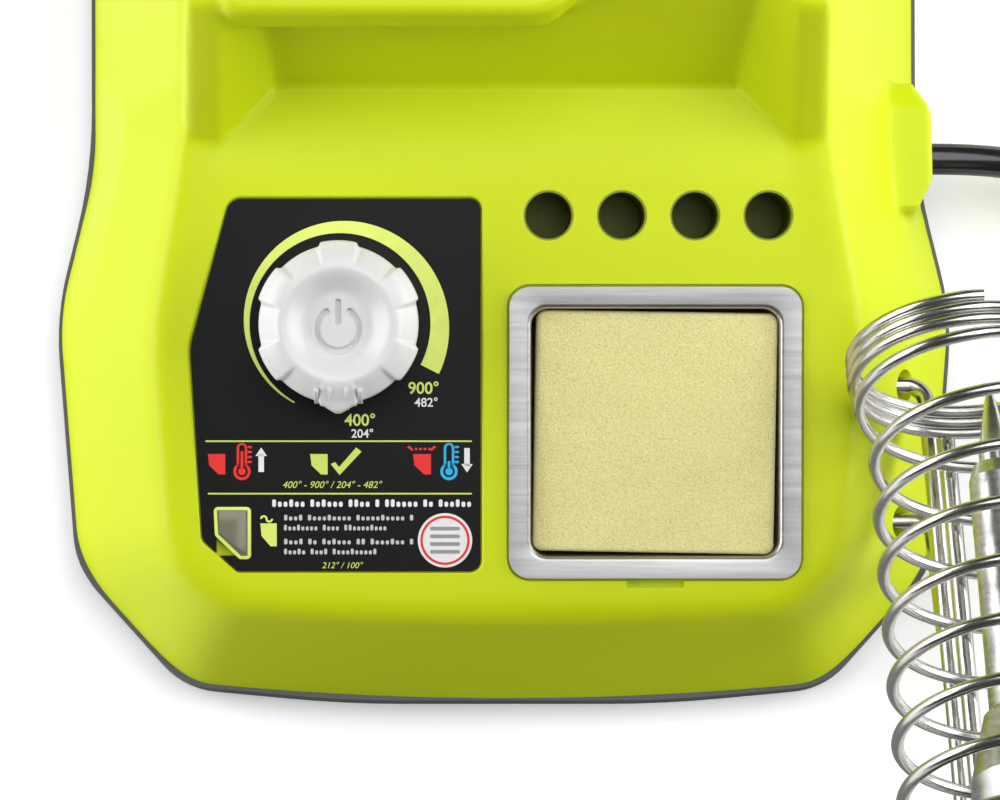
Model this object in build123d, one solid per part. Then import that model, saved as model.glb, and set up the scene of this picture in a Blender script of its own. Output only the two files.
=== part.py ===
from build123d import *
import math
import os

# ---------------------------------------------------------------- driving dimensions (mm)
# Station frame while modelling: X right, Y back, Z up. Y = 0 is the front edge of the sloping deck,
# X = 0 is the plane of symmetry of the housing and Z = 0 is the bench.
# ORIGIN moves everything so that Z = 0 under the middle of the object is the part's origin.
ORIGIN_X, ORIGIN_Y = 13.87, 12.18

DECK_SLOPE = 12.0            # deck rises to the back, degrees
DECK_FRONT_Z = 34.0          # height of the deck's front edge
SEAM_Z = 9.0                 # joint between lower tray and top cover
FOOT_HEIGHT = 2.5
WALL = 2.4                   # moulding thickness
TOWER_TOP_Z = 86.0
CREASE_Y = 89.5              # where the deck meets the valley floor
REAR_Y = 206.0

PANEL_DEPTH = 1.6
PANEL_THICK = 1.0
DIAL_U, DIAL_V = -33.3, 58.7
SCALE_RADIUS = 18.1          # inside of the crescent round the knob
SCALE_THIN, SCALE_WIDE = 0.25, 4.1
SCALE_START, SCALE_END = 240.0, -27.0          # anticlockwise from the right, degrees
KNOB_RADIUS = 16.4
KNOB_HEIGHT = 15.0
KNOB_GAP = 1.6               # knob skirt above the panel: more than the push travel
SHAFT_RADIUS = 3.0
WINDOW_THICK = 1.6

TRAY_U, TRAY_V = 29.75, 36.9
TRAY_SIZE = 58.7
BASIN_SIZE = 49.8
BASIN_DEPTH = 15.0
SHEET = 0.8                  # stainless sheet thickness
SPONGE_SIZE = 47.6
SPONGE_THICK = 12.4

TIP_HOLE_RADIUS = 4.65
TIP_HOLE_PITCH = 14.64
TIP_HOLE_U, TIP_HOLE_V = 30.35, 80.3
TIP_HOLE_DEPTH = 24.0

DOCK_X, DOCK_Y = -19.5, 156.0
WELL_WIDTH, WELL_DEPTH = 46.0, 34.0
WELL_FLOOR_Z = 34.0
REAR_SPLIT_Y = 104.0         # joint between the deck moulding and the rear mouldings

COIL_TILT = 16.5             # axis of the iron holder above the horizontal, degrees
COIL_SPLAY = 1.6             # and outwards
COIL_START = (90.6, 48.7, 61.0)
COIL_RADIUS = 23.4
COIL_WIRE = 2.4
TIGHT_PITCH = 2.45
TIGHT_TURNS = 2.93
LOOSE_PITCH = 11.7
LOOSE_TURNS = 8.3
COIL_SHIFT = 2.9             # the open turns sit this much further out than the tight ones
ROD_WIRE = 3.5

CORD_DIAMETER = 6.6
CORD_EXIT = (88.0, 98.5, 17.0)
CORD_COIL_X, CORD_COIL_Y = 165.0, 54.0
CORD_COIL_RADIUS = 36.0
CORD_REST_Z = 3.6            # centre line of the cord where it lies on the bench


def cosd(angle):
    return math.cos(math.radians(angle))


def sind(angle):
    return math.sin(math.radians(angle))


DECK = Plane(origin=(0, 0, DECK_FRONT_Z), x_dir=(1, 0, 0), z_dir=(0, -sind(DECK_SLOPE), cosd(DECK_SLOPE)))
IRON_DIRECTION = Vector(
    sind(COIL_SPLAY) * cosd(COIL_TILT), -cosd(COIL_SPLAY) * cosd(COIL_TILT), sind(COIL_TILT)
)
SIDEWAYS = Vector(cosd(COIL_SPLAY), sind(COIL_SPLAY), 0)
HOLDER = Plane(origin=COIL_START, x_dir=SIDEWAYS, z_dir=IRON_DIRECTION)
IRON = Plane(origin=Vector(*COIL_START) + SIDEWAYS * COIL_SHIFT, x_dir=SIDEWAYS, z_dir=IRON_DIRECTION)
UP_SIGN = 1 if HOLDER.y_dir.Z > 0 else -1      # local +Y or -Y of the holder plane points up


def on(plane, shape):
    return plane.location * shape


def block(width, depth, height, x, y, z):
    """Box centred on x, y that stands on z."""
    return Pos(x, y, z + height / 2) * Box(width, depth, height)


def rod(radius, height, x, y, z):
    """Upright cylinder that stands on z."""
    return Pos(x, y, z + height / 2) * Cylinder(radius, height)


def mirrored(points):
    return points + [(-x, y) for x, y in reversed(points)]


def rounded_face(points, radii):
    return make_face(FilletPolyline(*points, radius=radii, close=True))


def rounded_block(width, depth, height, radius, x, y, z):
    return extrude(Pos(x, y, z) * RectangleRounded(width, depth, radius), height)


# ---------------------------------------------------------------- housing outline
SEAM_POINTS = [(33, -13.3), (66, -10.2), (88, 14), (93, 66.5), (86, 98), (88, REAR_Y)]
SEAM_RADII = [250, 16, 18, 60, 110, 12]
DECK_POINTS = [(30, 0.3), (59, 2.2), (68, 12), (71.6, 55), (64.3, 95), (66.5, 209)]
DECK_RADII = [250, 8, 15, 60, 110, 10]


def outline(points, radii, inset):
    both = radii + radii[::-1]
    face = rounded_face(mirrored(points), both)
    return offset(face, amount=-inset) if inset else face


def wedge(inset):
    """Sloping main body: ruled between the seam outline and the deck outline."""
    low = Pos(0, 0, SEAM_Z) * outline(SEAM_POINTS, SEAM_RADII, inset)
    high = on(DECK, Pos(0, 0, -inset) * outline(DECK_POINTS, DECK_RADII, inset))
    return loft([low, high], ruled=True)


def tower(inset):
    """Raised rear block that carries the battery dock."""
    low = Pos(0, 144.5, 40) * RectangleRounded(131 - 2 * inset, 119 - 2 * inset, 6 - inset)
    high = Pos(0, 156, TOWER_TOP_Z - inset) * RectangleRounded(124.8 - 2 * inset, 88 - 2 * inset, 6 - inset)
    return loft([low, high], ruled=True)


def valley(grow):
    """Recess with flared sides, cut out of the wedge and the middle of the tower's front face."""
    floor = [(57.6, CREASE_Y - 14), (57.6, 92), (46.2, 105)]
    mouth = [(56, CREASE_Y - 14), (56, 115.5), (50.4, 121.8)]
    slope = [(x + grow * s, y + grow) for (x, y), s in zip(floor, (1, 1, 0.3))]
    top = [(x + grow * s, y + grow) for (x, y), s in zip(mouth, (1, 1, 0.3))]
    low = Plane(origin=(0, CREASE_Y, 52.9 - grow), x_dir=(1, 0, 0), z_dir=(0, 0.09, 1))
    lower = make_face(Polyline(*[(x, y - CREASE_Y) for x, y in mirrored(slope)], close=True))
    upper = make_face(Polyline(*mirrored(top), close=True))
    return loft([on(low, lower), Pos(0, 0, 92) * upper], ruled=True)


def valley_only(grow):
    """The valley, kept behind the crease so that it leaves the deck alone."""
    keep = Pos(0, CREASE_Y - grow + 60, 75) * Box(200, 120, 90)
    return valley(grow) & keep


def housing(inset):
    return wedge(inset) + tower(inset) - valley_only(inset)


def dock_lip():
    points = [(-55.5, 109.8), (8, 109.8), (19, 120.5), (19, 134), (-55.5, 134)]
    face = rounded_face(points, [5, 3, 3, 0.5, 0.5])
    body = extrude(Pos(0, 0, 76) * face, TOWER_TOP_Z - 76 + 1.2)
    return fillet(body.edges().group_by(Axis.Z)[-1], 1.0)


def cord_lug():
    """Elongated eight-sided pad on the right wall, where the iron's lead comes out."""
    points = [(76, 86), (84.5, 84.5), (88, 91), (88, 106), (84.5, 112.5), (76, 111)]
    face = rounded_face(points, [0.5, 2, 3, 3, 2, 0.5])
    body = extrude(Pos(0, 0, 10.5) * face, 20)
    return fillet(body.edges().group_by(Axis.Z)[-1], 2.0)


POSTS = [(76, 38), (72, 112), (66, 192)]


def posts():
    shapes = [rod(4.0, 80, s * x, y, 6.2) for x, y in POSTS for s in (-1, 1)]
    return Part() + shapes


SOCKET_A = (79.0, 48.6, 25.8)    # where the holder's long wire enters the wall
SOCKET_B = (79.0, 21.5, 20.0)


def socket_hole(place, radius):
    return Pos(*place) * Rot(0, 90, 0) * Cylinder(radius, 30)


def panel_outline(inset):
    points = [(-55.3, 83.6), (-5.2, 83.6), (-5.2, 9.1), (-53.8, 9.1), (-60.9, 15.4), (-63.3, 54)]
    face = rounded_face(points, [3, 2.2, 2.2, 1, 2, 12])
    return offset(face, amount=-inset) if inset else face


def tip_hole_places():
    return [TIP_HOLE_U + TIP_HOLE_PITCH * (k - 1.5) for k in range(4)]


def make_top_cover():
    shell = housing(0) + dock_lip() + cord_lug()
    lower = block(400, 600, SEAM_Z + 0.01, 0, 100, 0)
    shell = shell - (housing(WALL) - posts()) - lower
    shell = shell + (posts() & (housing(0) + lower)) - block(400, 600, SEAM_Z - 2.6, 0, 100, 0)
    cuts = [
        on(DECK, extrude(Pos(0, 0, -PANEL_DEPTH) * panel_outline(-0.3), PANEL_DEPTH + 5)),
        on(DECK, rod(5.5, 20, DIAL_U, DIAL_V, -10)),
        on(DECK, rounded_block(6.4, 9.2, 20, 1, -54.9, 16.8, -10)),
        on(DECK, rounded_block(TRAY_SIZE + 0.6, TRAY_SIZE + 0.6, 9, 4.6, TRAY_U, TRAY_V, -0.6)),
        on(DECK, rounded_block(BASIN_SIZE + 3, BASIN_SIZE + 3, 30, 5, TRAY_U, TRAY_V, -12)),
        on(DECK, block(12, 2.4, 9, TRAY_U, 7.4, -1.6)),
        block(WELL_WIDTH + 3.4, WELL_DEPTH + 3.4, 30, DOCK_X, DOCK_Y, TOWER_TOP_Z - 12),
        socket_hole(SOCKET_A, 3.4),
        socket_hole(SOCKET_B, 3.4),
        Pos(CORD_EXIT[0], CORD_EXIT[1], CORD_EXIT[2]) * Rot(0, 90, 0) * Cylinder(4.2, 60),
    ]
    cuts += [on(DECK, rod(TIP_HOLE_RADIUS + 1.0, 20, u, TIP_HOLE_V, -10)) for u in tip_hole_places()]
    cuts += [rod(1.6, 22, s * x, y, 5) for x, y in POSTS for s in (-1, 1)]
    return shell - cuts


def split_cover(cover):
    """Deck moulding, and four rear mouldings that stand round the battery socket."""
    side = (WELL_WIDTH + 3.4) / 2
    rear = cover - block(400, 400, 200, 0, REAR_SPLIT_Y - 200, 0)
    middle = rear & block(2 * side, 400, 200, DOCK_X, 100, 0)
    return {
        "top_cover": cover & block(400, 400, 200, 0, REAR_SPLIT_Y - 200, 0),
        "rear_cover_left": rear & block(400, 400, 200, DOCK_X - side - 200, 100, 0),
        "rear_cover_right": rear & block(400, 400, 200, DOCK_X + side + 200, 100, 0),
        "rear_cover_front": middle & block(400, 400, 200, 0, DOCK_Y - 200, 0),
        "rear_cover_back": middle & block(400, 400, 200, 0, DOCK_Y + 200, 0),
    }


def make_base_tray():
    face = rounded_face(mirrored(SEAM_POINTS), SEAM_RADII + SEAM_RADII[::-1])
    outer = extrude(Pos(0, 0, FOOT_HEIGHT) * offset(face, amount=0.8), SEAM_Z - FOOT_HEIGHT)
    inner = extrude(Pos(0, 0, FOOT_HEIGHT + WALL) * offset(face, amount=-1.8), SEAM_Z)
    body = outer - inner
    holes = [rod(2.2, 12, s * x, y, 0) for x, y in POSTS for s in (-1, 1)]
    sinks = [rod(4.2, 1.4, s * x, y, FOOT_HEIGHT) for x, y in POSTS for s in (-1, 1)]
    vents = [rounded_block(3, 26, 6, 1.4, -20 + 8 * k, 60, 0) for k in range(6)]
    stand = [rod(3, 4.7, x, y, FOOT_HEIGHT + WALL) for x, y in BOARD_STANDS]
    pilot = [rod(1.1, 3.6, x, y, FOOT_HEIGHT + WALL + 1.2) for x, y in BOARD_STANDS]
    return (body - holes - sinks - vents) + stand - pilot


BOARD_STANDS = [(-56, 130), (17, 130), (-56, 184), (17, 184)]
FEET = [(68, 16), (74, 186)]


def make_feet():
    return Part() + [
        rod(8, FOOT_HEIGHT, s * x, y, 0) for x, y in FEET for s in (-1, 1)
    ]


def make_case_screws():
    shapes = []
    for x, y in POSTS:
        for s in (-1, 1):
            shank = rod(1.6, 20, s * x, y, FOOT_HEIGHT + 1.3)
            head = rod(3.6, 1.3, s * x, y, FOOT_HEIGHT + 0.1)
            shapes.append(head + shank - rod(1.1, 0.9, s * x, y, FOOT_HEIGHT))
    return Part() + shapes


# ---------------------------------------------------------------- control panel and knob
def make_control_panel():
    plate = extrude(Pos(0, 0, -PANEL_DEPTH) * panel_outline(0), PANEL_THICK)
    plate -= rod(4.6, 6, DIAL_U, DIAL_V, -4)
    plate -= rounded_block(6.4, 9.2, 6, 1, -54.9, 16.8, -4)
    return on(DECK, plate)


def dial_point(radius, angle):
    return (DIAL_U + radius * cosd(angle), DIAL_V + radius * sind(angle))


def make_dial_scale():
    """Crescent that widens clockwise round the knob, let into the panel's face."""
    angles = [SCALE_START - (SCALE_START - SCALE_END) * k / 12 for k in range(13)]
    widths = [SCALE_THIN + (SCALE_WIDE - SCALE_THIN) * k / 12 for k in range(13)]
    outer = Spline(*[dial_point(SCALE_RADIUS + w, a) for a, w in zip(angles, widths)])
    inner = ThreePointArc(*[dial_point(SCALE_RADIUS, angles[k]) for k in (12, 6, 0)])
    ring = make_face([outer, Line(outer @ 1, inner @ 0), inner, Line(inner @ 1, outer @ 0)])
    return on(DECK, extrude(Pos(0, 0, PANEL_THICK - PANEL_DEPTH) * ring, 0.35))


def window_face(inset):
    points = [(-58.3, 21.9), (-51.4, 21.9), (-51.4, 12.0), (-53.4, 12.0), (-58.0, 16.2)]
    face = rounded_face(points, [0.8, 0.8, 0.8, 0.6, 0.6])
    return offset(face, amount=-inset) if inset else face


def make_status_window():
    lens = extrude(Pos(0, 0, PANEL_THICK - PANEL_DEPTH) * window_face(0), 0.4)
    stem = rounded_block(5.8, 8.6, WINDOW_THICK, 0.8, -54.9, 16.8, PANEL_THICK - PANEL_DEPTH - WINDOW_THICK)
    return on(DECK, lens + stem)


def make_knob():
    base_w = PANEL_THICK - PANEL_DEPTH + KNOB_GAP
    body = rod(KNOB_RADIUS, KNOB_HEIGHT, 0, 0, 0)
    body = fillet(body.edges().group_by(Axis.Z)[-1], 2.4)
    dish = Pos(0, 0, KNOB_HEIGHT + 36.6) * Sphere(38.5)
    body -= dish
    for k in range(8):
        body -= Rot(0, 0, 45 * k + 22.5) * Pos(KNOB_RADIUS + 6.6, 0, KNOB_HEIGHT / 2 + 1) * Cylinder(7.6, 13)
    tab = rounded_block(5.2, 5.0, 9, 1.0, 0, -KNOB_RADIUS + 0.2, 0)
    body += tab
    body -= rod(SHAFT_RADIUS, 10, 0, 0, -1)
    body -= rod(KNOB_RADIUS - 3, 4, 0, 0, -1) - rod(6, 6, 0, 0, -2)
    return on(DECK, Pos(DIAL_U, DIAL_V, base_w) * body)


def make_knob_shaft():
    shaft = rod(SHAFT_RADIUS, 18.5, 0, 0, 0) - block(10, 3, 9, 0, 3.9, 0)
    return on(DECK, Pos(DIAL_U, DIAL_V, -8.5) * shaft)


BOARD_W = -15.0


def make_encoder_body():
    can = rounded_block(13, 13, 6.5, 1, 0, 0, 0)
    neck = rod(4.4, 3.6, 0, 0, 6.5)
    body = can + neck - rod(SHAFT_RADIUS + 1.2, 12, 0, 0, 1.2)
    return on(DECK, Pos(DIAL_U, DIAL_V, BOARD_W + 1.6) * body)


def make_encoder_rotor():
    rotor = rod(SHAFT_RADIUS + 1.0, 4.5, 0, 0, 0) - rod(SHAFT_RADIUS + 0.2, 3.6, 0, 0, 1.5)
    return on(DECK, Pos(DIAL_U, DIAL_V, BOARD_W + 3.0) * rotor)


def make_control_board():
    board = rounded_block(50, 66, 1.6, 2, -33.5, 46.5, BOARD_W)
    chips = [block(9, 9, 1.6, -22, 30, BOARD_W + 1.6), block(6, 5, 1.4, -45, 34, BOARD_W + 1.6)]
    board += chips
    for u, v in PANEL_STANDS:
        board -= rod(1.6, 6, u, v, BOARD_W - 2)
    return on(DECK, board)


PANEL_STANDS = [(-54, 76), (-13, 76), (-13, 17), (-41, 17)]


def make_status_led():
    lamp = rod(2.4, 6, -54.9, 16.8, BOARD_W + 1.6 + 1.0)
    lamp = fillet(lamp.edges().group_by(Axis.Z)[-1], 2.2)
    base = rod(2.9, 1.0, -54.9, 16.8, BOARD_W + 1.6)
    return on(DECK, lamp + base)


def make_board_screws():
    shapes = []
    for u, v in PANEL_STANDS:
        screw = rod(2.6, 1.5, u, v, BOARD_W - 1.5) + rod(1.2, 10, u, v, BOARD_W)
        shapes.append(on(DECK, screw))
    for x, y in BOARD_STANDS:
        top = FOOT_HEIGHT + WALL + 4.7 + 1.6
        shapes.append(rod(2.6, 1.5, x, y, top) + rod(1.0, 5, x, y, top - 5))
    return Part() + shapes


def panel_posts():
    """Pillars under the deck that the control board is screwed to."""
    shapes = []
    for u, v in PANEL_STANDS:
        pillar = rod(3.0, 0.6 - WALL - BOARD_W - 1.6, u, v, BOARD_W + 1.6)
        shapes.append(on(DECK, pillar - rod(1.3, 9, u, v, BOARD_W + 1.5)))
    return shapes


# ---------------------------------------------------------------- sponge tray and tip rack
def make_sponge_tray():
    rim = rounded_block(TRAY_SIZE, TRAY_SIZE, SHEET, 4.3, TRAY_U, TRAY_V, 0)
    rim = fillet(rim.edges().group_by(Axis.Z)[-1], 0.35)
    outer = rounded_block(BASIN_SIZE + 2 * SHEET, BASIN_SIZE + 2 * SHEET, BASIN_DEPTH, 4.2, TRAY_U, TRAY_V, -BASIN_DEPTH)
    inner = rounded_block(BASIN_SIZE, BASIN_SIZE, BASIN_DEPTH + 5, 3.4, TRAY_U, TRAY_V, SHEET - BASIN_DEPTH)
    return on(DECK, rim + outer - inner)


def make_sponge():
    body = rounded_block(SPONGE_SIZE, SPONGE_SIZE, SPONGE_THICK, 2.0, 0, 0, 0)
    return on(DECK, Pos(TRAY_U + 0.1, TRAY_V, SHEET - BASIN_DEPTH + 0.1) * Rot(0, 0, -1) * body)


def make_tip_rack():
    """Four blind cups on a flange, pushed up into the deck from inside."""
    plate = rounded_block(TIP_HOLE_PITCH * 4, 13, 1.6, 3, TIP_HOLE_U, TIP_HOLE_V, -WALL - 1.7)
    cups = [rod(TIP_HOLE_RADIUS + 0.9, TIP_HOLE_DEPTH - 0.1, u, TIP_HOLE_V, -TIP_HOLE_DEPTH) for u in tip_hole_places()]
    bores = [rod(TIP_HOLE_RADIUS, TIP_HOLE_DEPTH, u, TIP_HOLE_V, 1.6 - TIP_HOLE_DEPTH) for u in tip_hole_places()]
    return on(DECK, plate + cups - bores)


# ---------------------------------------------------------------- battery dock and power board
def make_battery_well():
    height = TOWER_TOP_Z - WELL_FLOOR_Z
    outer = rounded_block(WELL_WIDTH + 3, WELL_DEPTH + 3, height, 4, DOCK_X, DOCK_Y, WELL_FLOOR_Z)
    inner = rounded_block(WELL_WIDTH, WELL_DEPTH, height, 3, DOCK_X, DOCK_Y, WELL_FLOOR_Z + 2)
    slot = block(26, 9, 6, DOCK_X, DOCK_Y, WELL_FLOOR_Z - 2)
    return outer - inner - slot


def make_terminal_block():
    body = rounded_block(25.4, 8.4, 14, 1, DOCK_X, DOCK_Y, WELL_FLOOR_Z - 4)
    foot = rounded_block(34, 16, 3, 2, DOCK_X, DOCK_Y, WELL_FLOOR_Z - 7)
    return body + foot - [block(1.2, 6.4, 40, x, DOCK_Y, WELL_FLOOR_Z - 10) for x in blade_places()]


def blade_places():
    return [DOCK_X - 8, DOCK_X, DOCK_X + 8]


def make_terminal_blades():
    return Part() + [block(0.9, 6.0, 26, x, DOCK_Y, WELL_FLOOR_Z - 6) for x in blade_places()]


def make_power_board():
    z = FOOT_HEIGHT + WALL + 4.7
    board = rounded_block(84, 64, 1.6, 2, DOCK_X, 157, z)
    parts = [rod(5, 12, 14, 150, z + 1.6), rod(5, 12, 14, 165, z + 1.6), block(16, 10, 9, -50, 157, z + 1.6)]
    board += parts
    for x, y in BOARD_STANDS:
        board -= rod(1.3, 6, x, y, z - 2)
    return board


# ---------------------------------------------------------------- iron holder
def coil_point(turn):
    """Centre line of the holder's wire after so many turns, in the holder plane."""
    loose = min(max(turn - TIGHT_TURNS, 0), LOOSE_TURNS)
    rest = turn - loose
    ease = min(loose, 1.0)
    ease = ease * ease * (3 - 2 * ease)
    along = TIGHT_PITCH * rest + LOOSE_PITCH * loose
    angle = 2 * math.pi * turn
    side = -math.sin(angle) * COIL_RADIUS + COIL_SHIFT * ease
    up = math.cos(angle) * COIL_RADIUS
    return (side, UP_SIGN * up, along)


COIL_TURNS = TIGHT_TURNS + LOOSE_TURNS + 1.3
COIL_LENGTH = TIGHT_PITCH * (TIGHT_TURNS + 1.3) + LOOSE_PITCH * LOOSE_TURNS
POINTS_PER_TURN = 12


def make_holder_coil():
    count = int(COIL_TURNS * POINTS_PER_TURN)
    points = [coil_point(COIL_TURNS * k / count) for k in range(count + 1)]
    path = Spline(*points)
    section = Plane(origin=path @ 0, z_dir=path % 0) * Circle(COIL_WIRE / 2)
    return on(HOLDER, sweep(section, path=path, is_frenet=True))


def wire(points, radius, diameter):
    path = FilletPolyline(*points, radius=radius)
    section = Plane(origin=path @ 0, z_dir=path % 0) * Circle(diameter / 2)
    return sweep(section, path=path)


def holder_place(side, up, along):
    point = HOLDER.from_local_coords(Vector(side + COIL_SHIFT, UP_SIGN * up, along))
    return (point.X, point.Y, point.Z)


ROD_UP = -(COIL_RADIUS + COIL_WIRE / 2 + ROD_WIRE / 2 + 0.05)


def make_holder_bracket():
    """One long hairpin: in at the upper socket, out under the coil, round at the mouth and back."""
    near = -5.4
    far = near - 2.4
    drop = 6.0
    points = [
        (SOCKET_A[0] - 6, SOCKET_A[1], SOCKET_A[2]),
        (holder_place(far, 0, 0)[0], SOCKET_A[1], SOCKET_A[2]),
        holder_place(far, ROD_UP - drop, 22),
        holder_place(far, ROD_UP - drop, COIL_LENGTH + 4),
        holder_place(near, ROD_UP, COIL_LENGTH + 4),
        holder_place(near, ROD_UP, 4),
    ]
    return wire(points, [4.0, 6.0, 3.0, 3.0], ROD_WIRE)


def make_holder_hook():
    """Short wire from the lower socket to the underside of the hairpin."""
    end = holder_place(-5.4 - 2.4, ROD_UP - 6.0 - ROD_WIRE / 2, 46)
    points = [
        (SOCKET_B[0] - 6, SOCKET_B[1], SOCKET_B[2]),
        (end[0], SOCKET_B[1], SOCKET_B[2]),
        (end[0], end[1], end[2] - ROD_WIRE / 2),
    ]
    return wire(points, [4.0], ROD_WIRE)


def make_holder_sockets():
    shapes = []
    for x, y, z in (SOCKET_A, SOCKET_B):
        body = Pos(x - 6, y, z) * Rot(0, 90, 0) * Cylinder(3.3, 11)
        bore = Pos(x - 4.5, y, z) * Rot(0, 90, 0) * Cylinder(ROD_WIRE / 2 + 0.1, 11)
        shapes.append(body - bore)
    return Part() + shapes


# ---------------------------------------------------------------- soldering iron (local Z along its axis)
TIP_START, TIP_BARE = 8.8, 16.5
SLEEVE_START, SLEEVE_END = 25.3, 86.0
GUARD_START = 103.0
GRIP_START, GRIP_END = 108.0, 168.0
HANDLE_END = 212.0
RELIEF_END = 240.0


def turned(profile):
    """Solid of revolution about Z from (radius, height) points."""
    face = make_face(Polyline(*[(r, 0, z) for r, z in profile], close=True))
    return on(IRON, revolve(face, Axis.Z))


def make_iron_tip():
    cone = [(0, TIP_START), (0.7, TIP_START + 0.3), (1.5, TIP_START + 4), (3.2, TIP_START + 13)]
    barrel = [(3.2, SLEEVE_START - 0.2), (3.2, SLEEVE_START + 26), (0, SLEEVE_START + 26)]
    return turned(cone + barrel)


def make_tip_sleeve():
    outer = [(3.6, SLEEVE_START), (4.6, SLEEVE_START), (5.6, SLEEVE_START + 3), (5.9, SLEEVE_END)]
    inner = [(4.6, SLEEVE_END), (4.6, SLEEVE_START + 4), (3.6, SLEEVE_START + 2.5)]
    return turned(outer + inner)


def make_heater_core():
    return turned([(0, SLEEVE_START + 26.2), (3.0, SLEEVE_START + 26.2), (3.0, GUARD_START + 30), (0, GUARD_START + 30)])


def make_sleeve_nut():
    lower = [(6.0, SLEEVE_END - 10), (7.0, SLEEVE_END - 9), (10.5, SLEEVE_END + 4), (10.5, SLEEVE_END + 13)]
    upper = [(4.8, SLEEVE_END + 13), (4.8, SLEEVE_END + 0.2), (6.0, SLEEVE_END + 0.2)]
    return turned(lower + upper)


def make_heat_guard():
    profile = [(4.8, SLEEVE_END + 13.2), (12, SLEEVE_END + 13.2), (21.4, GUARD_START + 0.5), (21.4, GUARD_START + 2.5)]
    profile += [(13.5, GUARD_START + 4.8), (4.8, GUARD_START + 4.8)]
    return turned(profile)


def make_iron_handle():
    outer = [(3.2, GRIP_START), (10.2, GRIP_START), (10.2, GRIP_END), (12.6, GRIP_END)]
    outer += [(12.6, GRIP_END + 8), (10.5, HANDLE_END - 14), (10.5, HANDLE_END)]
    inner = [(8.0, HANDLE_END), (8.0, GRIP_START + 10), (3.2, GRIP_START + 10)]
    return turned(outer + inner)


def make_handle_grip():
    profile = [(10.3, GRIP_START + 0.2), (13.6, GRIP_START + 0.2), (12.2, GRIP_START + 12)]
    profile += [(12.2, GRIP_END - 14), (13.2, GRIP_END - 0.2), (10.3, GRIP_END - 0.2)]
    return turned(profile)


def make_handle_cap():
    profile = [(5.2, HANDLE_END - 4), (7.9, HANDLE_END - 4), (7.9, HANDLE_END + 0.1), (10.5, HANDLE_END + 0.1)]
    profile += [(9.2, HANDLE_END + 3.5), (5.2, HANDLE_END + 3.5)]
    return turned(profile)


def make_iron_strain_relief():
    radius = CORD_DIAMETER / 2
    body = turned([
        (0, HANDLE_END - 3), (5.1, HANDLE_END - 3), (5.1, HANDLE_END + 6),
        (radius + 0.9, RELIEF_END), (0, RELIEF_END),
    ])
    return body


def make_cord_gland():
    """Bush that grips the lead inside the lug; its outer face is flush with the lug."""
    x, y, z = CORD_EXIT
    body = Pos(x - 6.5, y, z) * Rot(0, 90, 0) * Cylinder(4.1, 13.0)
    collar = Pos(x - 14.6, y, z) * Rot(0, 90, 0) * Cylinder(5.6, 3.2)
    return body + collar


# ---------------------------------------------------------------- lead between base and iron
BASE_LEAD = [
    CORD_EXIT,
    (104.0, 98.5, 17.0),
    (126.0, 93.3, CORD_REST_Z),
    (142.0, 93.3, CORD_REST_Z),
]
IRON_LEAD = [
    (204.3, 30.0, CORD_REST_Z),
    (204.3, -8.0, CORD_REST_Z),
    (195.0, -54.0, CORD_REST_Z),
    (176.0, -97.0, CORD_REST_Z),
    (164.0, -138.0, CORD_REST_Z),
    (158.0, -176.0, CORD_REST_Z),
    (147.0, -210.0, CORD_REST_Z),
    (132.0, -238.0, 9.0),
    (117.0, -258.0, 34.0),
    (108.0, -264.0, 66.0),
    (103.5, -257.0, 98.0),
    (101.5, -237.0, 122.0),
]


def lead_radii(points):
    radii = []
    for a, b, c in zip(points, points[1:], points[2:]):
        first, second = Vector(*b) - Vector(*a), Vector(*c) - Vector(*b)
        turn = math.radians(first.get_angle(second))
        radii.append(0.45 * min(first.length, second.length) / math.tan(turn / 2))
    return radii


def make_lead(points, name):
    radii = lead_radii(points)
    path = FilletPolyline(*points, radius=radii)
    section = Plane(origin=path @ 0, z_dir=path % 0) * Circle(CORD_DIAMETER / 2)
    tube = sweep(section, path=path)
    print(name, "radii", [round(r) for r in radii], "length", round(path.length),
          "volume / section", round(tube.volume / (math.pi * CORD_DIAMETER ** 2 / 4)))
    return tube


def iron_lead_points():
    """The route from the coil to the strain relief, which it enters along the iron's axis."""
    end = IRON.from_local_coords(Vector(0, 0, RELIEF_END))
    before = IRON.from_local_coords(Vector(0, 0, RELIEF_END + 24))
    return IRON_LEAD + [(before.X, before.Y, before.Z), (end.X, end.Y, end.Z)]


def make_cord_coil():
    """Outer shape of the put-away turns, with a stub at each end that meets the lead."""
    outer = CORD_COIL_RADIUS + CORD_DIAMETER
    inner = CORD_COIL_RADIUS - CORD_DIAMETER
    height = 2 * CORD_DIAMETER
    low = CORD_REST_Z - CORD_DIAMETER / 2
    ring = rod(outer, height, 0, 0, low) - rod(inner, height + 2, 0, 0, low - 1)
    ring = fillet(ring.edges().filter_by(GeomType.CIRCLE), 2.8)
    ring = Pos(CORD_COIL_X, CORD_COIL_Y, 0) * ring
    x, y, z = BASE_LEAD[-1]
    stub = 14
    entry = Pos(x + stub / 2, y, z) * Rot(0, 90, 0) * Cylinder(CORD_DIAMETER / 2, stub)
    x, y, z = IRON_LEAD[0]
    leave = Pos(x, y + stub / 2, z) * Rot(90, 0, 0) * Cylinder(CORD_DIAMETER / 2, stub)
    return ring + entry + leave


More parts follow.
